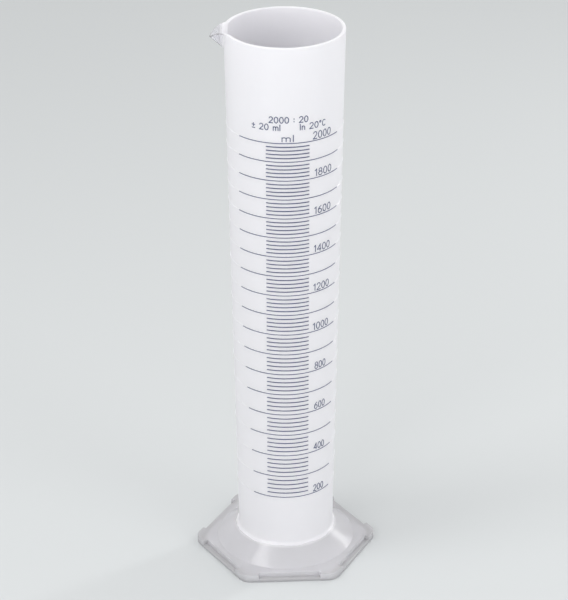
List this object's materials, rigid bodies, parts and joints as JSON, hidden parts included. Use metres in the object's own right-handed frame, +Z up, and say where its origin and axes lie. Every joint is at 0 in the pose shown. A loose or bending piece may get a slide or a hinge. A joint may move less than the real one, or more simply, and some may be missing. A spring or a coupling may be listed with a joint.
{
  "type": "graduated cylinder",
  "caption": "Tall tapered translucent plastic measuring cylinder with a raised ring scale, a beak spout at the rim and a stepped hexagonal foot",
  "frame": {"origin": "on the tube's axis, in the plane on which the foot rests", "axes": "+Z up the tube, -Y through the middle of the printed scale, -X through the spout's tip"},
  "size_m": [0.1546, 0.1372, 0.4776],
  "materials": {
    "translucent_polypropylene": "satin, translucent, slightly milky"
  },
  "bodies": {
    "root": {"graduated_cylinder": "translucent_polypropylene"}
  },
  "joints": []
}
